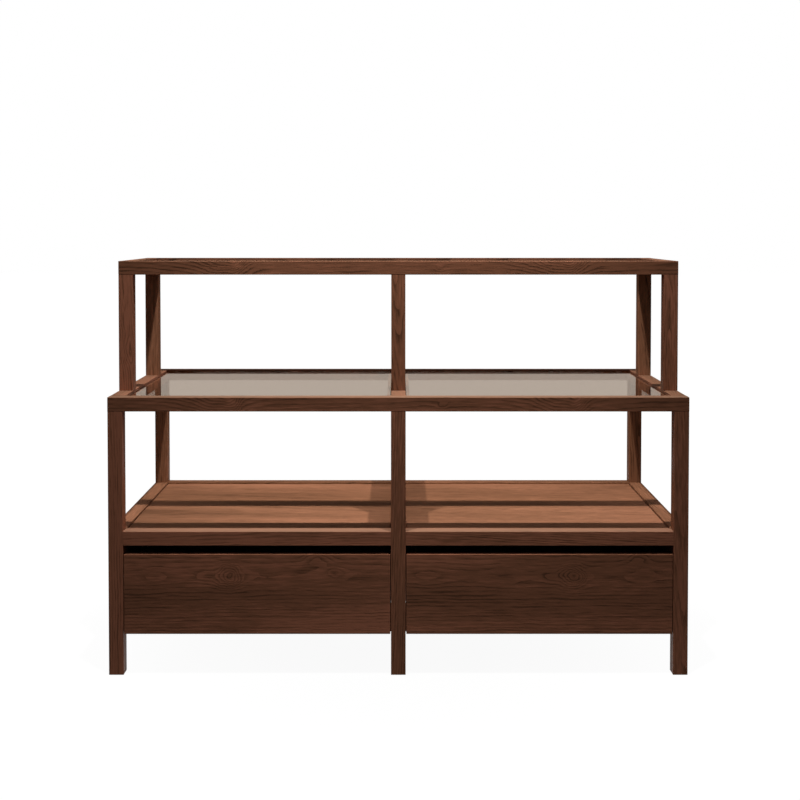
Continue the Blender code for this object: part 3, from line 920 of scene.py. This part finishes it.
class CONSOLE_OT_screws(bpy.types.Operator):
    """Drive a row of pan-head screws through each slide into its drawer"""

    bl_idname = "console.screws"
    bl_label = "Screws"

    def execute(self, context):
        for bay in BAYS:
            for side in BAYS:
                self.drive_row(context.scene, bay, side)
        return {"FINISHED"}

    def drive_row(self, scene, bay, side):
        fittings = scene.console_fittings
        low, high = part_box(f"slide_{bay}_{side}_inner")
        outward = -1 if side == "left" else 1
        web = (high[X] if side == "left" else low[X]) + outward * fittings.strip
        first, last = low[Y] + fittings.screw_inset, high[Y] - fittings.screw_inset
        shape = bmesh.new()
        for count in range(fittings.screws):
            along = between((first, last), count / (fittings.screws - 1))
            place = Vector((web, along, (low[Z] + high[Z]) / 2))
            self.add_head(shape, place, outward, fittings)
        name = f"slide_{bay}_{side}_screws"
        material = steel_material(name, scene.console_slides)
        piece = add_piece(scene, name, shape, material, f"drawer_{bay}")
        piece.data.shade_smooth()
        piece.data.set_sharp_from_angle(angle=SHARP_ANGLE)

    def add_head(self, shape, place, outward, fittings):
        """A round head with a rolled rim and a sunk socket, facing out from the drawer."""
        radius, height = fittings.head_radius, fittings.head_height
        middle = place + Vector((outward * height / 2, 0, 0))
        turned = Matrix.Translation(middle) @ Matrix.Rotation(outward * math.pi / 2, 4, "Y")
        made = bmesh.ops.create_cone(
            shape, cap_ends=True, segments=HEAD_SEGMENTS, radius1=radius, radius2=radius, depth=height,
            matrix=turned)["verts"]
        faces = {face for vert in made for face in vert.link_faces}
        top = max(faces, key=lambda face: outward * face.calc_center_median().x)
        rim = top.edges[:]
        bmesh.ops.inset_individual(shape, faces=[top], thickness=radius * SOCKET_INSET)
        bmesh.ops.inset_individual(
            shape, faces=[top], thickness=radius * SOCKET_TAPER, depth=-height * SOCKET_DEPTH)
        bmesh.ops.bevel(
            shape, geom=rim, offset=radius * RIM_ROUND, affect="EDGES",
            segments=ROUND_SEGMENTS, profile=0.5, material=-1)


class CONSOLE_OT_stage(bpy.types.Operator):
    """Set the floor, surroundings, lamps and camera"""

    bl_idname = "console.stage"
    bl_label = "Stage"

    def execute(self, context):
        stage = context.scene.console_stage
        self.set_view(context.scene)
        self.set_world(context.scene, stage)
        self.lay_floor(context.scene, stage)
        self.raise_room(context.scene, stage)
        self.hang_lamps(context.scene, stage)
        self.place_camera(context.scene, stage)
        return {"FINISHED"}

    def set_view(self, scene):
        scene.view_settings.view_transform = "Standard"

    def seen_mask(self, graph):
        """1 for rays that show the background: straight from the camera, mirrored, or through glass."""
        path = graph.node("ShaderNodeLightPath").outputs
        mirrored = graph.math("MAXIMUM", path["Is Glossy Ray"], path["Is Transmission Ray"])
        return graph.math("MAXIMUM", path["Is Camera Ray"], mirrored)

    def seen_colour(self, graph, stage):
        """White, or the room's tone where a ray comes by way of glass."""
        mirrored = graph.node("ShaderNodeLightPath").outputs["Is Singular Ray"]
        return graph.blend(mirrored, opaque((1.0, 1.0, 1.0)), opaque(stage.room))

    def set_world(self, scene, stage):
        world = bpy.data.worlds.new("Studio")
        graph = clear_graph(world)
        fill = graph.node("ShaderNodeBackground")
        fill.inputs["Strength"].default_value = stage.fill
        white = graph.node("ShaderNodeBackground")
        graph.feed(white.inputs["Color"], self.seen_colour(graph, stage))
        mix = graph.node("ShaderNodeMixShader")
        graph.feed(mix.inputs[0], self.seen_mask(graph))
        graph.feed(mix.inputs[1], fill.outputs[0])
        graph.feed(mix.inputs[2], white.outputs[0])
        graph.feed(graph.node("ShaderNodeOutputWorld").inputs["Surface"], mix.outputs[0])
        scene.world = world

    def lay_floor(self, scene, stage):
        """A pale floor that keeps the object's shadow; glass shows it in the room's tone."""
        material = bpy.data.materials.new("floor_paint")
        graph = clear_graph(material)
        place = graph.node("ShaderNodeTexCoord").outputs["Object"]
        away = graph.vector("LENGTH", place)
        plain = graph.step(away, *PATCH_FADE, 1.0 - stage.floor_paint, 1.0)
        seen = self.seen_mask(graph)
        paint = graph.node("ShaderNodeBsdfDiffuse")
        grey = graph.blend(seen, opaque([stage.floor_bounce] * 3), opaque([stage.floor_paint] * 3))
        graph.feed(paint.inputs["Color"], grey)
        white = graph.node("ShaderNodeEmission")
        graph.feed(white.inputs["Color"], self.seen_colour(graph, stage))
        graph.feed(white.inputs["Strength"], graph.math("MULTIPLY", seen, plain))
        both = graph.node("ShaderNodeAddShader")
        graph.feed(both.inputs[0], paint.outputs[0])
        graph.feed(both.inputs[1], white.outputs[0])
        graph.feed(graph.node("ShaderNodeOutputMaterial").inputs["Surface"], both.outputs[0])
        shape = bmesh.new()
        bmesh.ops.create_grid(shape, x_segments=1, y_segments=1, size=FLOOR_REACH)
        bmesh.ops.translate(shape, vec=(0, 0, CAD_BOX[0][Z]), verts=shape.verts)
        add_object(scene, "floor", shape, material)

    def raise_room(self, scene, stage):
        """A round wall that only glass and gloss see, in the tone of a plain room."""
        material = bpy.data.materials.new("room_tone")
        graph = clear_graph(material)
        tone = graph.node("ShaderNodeEmission")
        tone.inputs["Color"].default_value = opaque(stage.room)
        mirrored = graph.node("ShaderNodeLightPath").outputs["Is Singular Ray"]
        graph.feed(tone.inputs["Strength"], graph.math("MAXIMUM", mirrored, stage.room_in_gloss))
        graph.feed(graph.node("ShaderNodeOutputMaterial").inputs["Surface"], tone.outputs[0])
        shape = bmesh.new()
        bmesh.ops.create_cone(
            shape, segments=WALL_SEGMENTS, cap_ends=False, depth=stage.room_height,
            radius1=stage.room_radius, radius2=stage.room_radius)
        bmesh.ops.translate(shape, vec=(0, 0, stage.room_height / 2), verts=shape.verts)
        wall = add_object(scene, "room_wall", shape, material)
        wall.visible_camera = False
        wall.visible_diffuse = False
        wall.visible_shadow = False

    def hang_lamps(self, scene, stage):
        """A small lamp over each half, and a large dim one behind each end."""
        middle = (CAD_BOX[0] + CAD_BOX[1]) / 2
        for side, end in zip((-1, 1), BAYS):
            mirror = Vector((side, 1, 1))
            place, aim = mirror * Vector(stage.lamp_place), mirror * Vector(stage.lamp_aim)
            lamp = self.hang_lamp(
                scene, f"lamp_{end}", place, aim - place, stage.lamp_size, stage.lamp_power)
            lamp.spread = stage.lamp_spread
            place = mirror * Vector(stage.soft_place)
            self.hang_lamp(
                scene, f"soft_lamp_{end}", place, middle - place, stage.soft_size, stage.soft_power)

    def hang_lamp(self, scene, name, place, direction, size, power):
        """A square lamp that lights the object and shows in nothing."""
        lamp = bpy.data.lights.new(name, "AREA")
        lamp.shape = "SQUARE"
        lamp.size = size
        lamp.energy = power
        holder = bpy.data.objects.new(name, lamp)
        holder.location = place
        holder.rotation_euler = direction.to_track_quat("-Z", "Y").to_euler()
        holder.visible_camera = False
        holder.visible_glossy = False
        holder.visible_transmission = False
        scene.collection.objects.link(holder)
        return lamp

    def place_camera(self, scene, stage):
        camera = bpy.data.cameras.new("camera")
        camera.lens = stage.lens
        camera.shift_x, camera.shift_y = stage.shift
        holder = bpy.data.objects.new("camera", camera)
        holder.location = stage.camera_place
        holder.rotation_euler = (math.pi / 2 - stage.camera_pitch, 0, 0)
        scene.collection.objects.link(holder)
        scene.camera = holder


class CONSOLE_PT_finishes(bpy.types.Panel):
    """The console's finishes and stage"""

    bl_label = "Display Console"
    bl_idname = "CONSOLE_PT_finishes"
    bl_space_type = "VIEW_3D"
    bl_region_type = "UI"
    bl_category = "Console"

    def draw(self, context):
        for operator in OPERATORS:
            self.layout.operator(operator.bl_idname)
        for name in SETTINGS:
            settings = getattr(context.scene, name)
            column = self.layout.column()
            for label in settings.__annotations__:
                column.prop(settings, label)


SETTINGS = {
    "console_timber": TimberSettings,
    "console_boards": BoardSettings,
    "console_box": BoxSettings,
    "console_glass": GlassSettings,
    "console_slides": SlideSettings,
    "console_fittings": FittingSettings,
    "console_stage": StageSettings,
}
OPERATORS = (
    CONSOLE_OT_frame_timber,
    CONSOLE_OT_boards,
    CONSOLE_OT_drawer_fronts,
    CONSOLE_OT_drawer_boxes,
    CONSOLE_OT_drawer_stops,
    CONSOLE_OT_panes,
    CONSOLE_OT_slides,
    CONSOLE_OT_screws,
    CONSOLE_OT_stage,
)


def register():
    for group in (*SETTINGS.values(), *OPERATORS, CONSOLE_PT_finishes):
        bpy.utils.register_class(group)
    for name, group in SETTINGS.items():
        setattr(bpy.types.Scene, name, PointerProperty(type=group))


def unregister():
    for name in SETTINGS:
        delattr(bpy.types.Scene, name)
    for group in (CONSOLE_PT_finishes, *reversed(OPERATORS), *SETTINGS.values()):
        bpy.utils.unregister_class(group)


def main():
    register()
    bpy.ops.console.frame_timber()
    bpy.ops.console.boards()
    bpy.ops.console.drawer_fronts()
    bpy.ops.console.drawer_boxes()
    bpy.ops.console.drawer_stops()
    bpy.ops.console.panes()
    bpy.ops.console.slides()
    bpy.ops.console.screws()
    bpy.ops.console.stage()


if __name__ == "__main__":
    main()
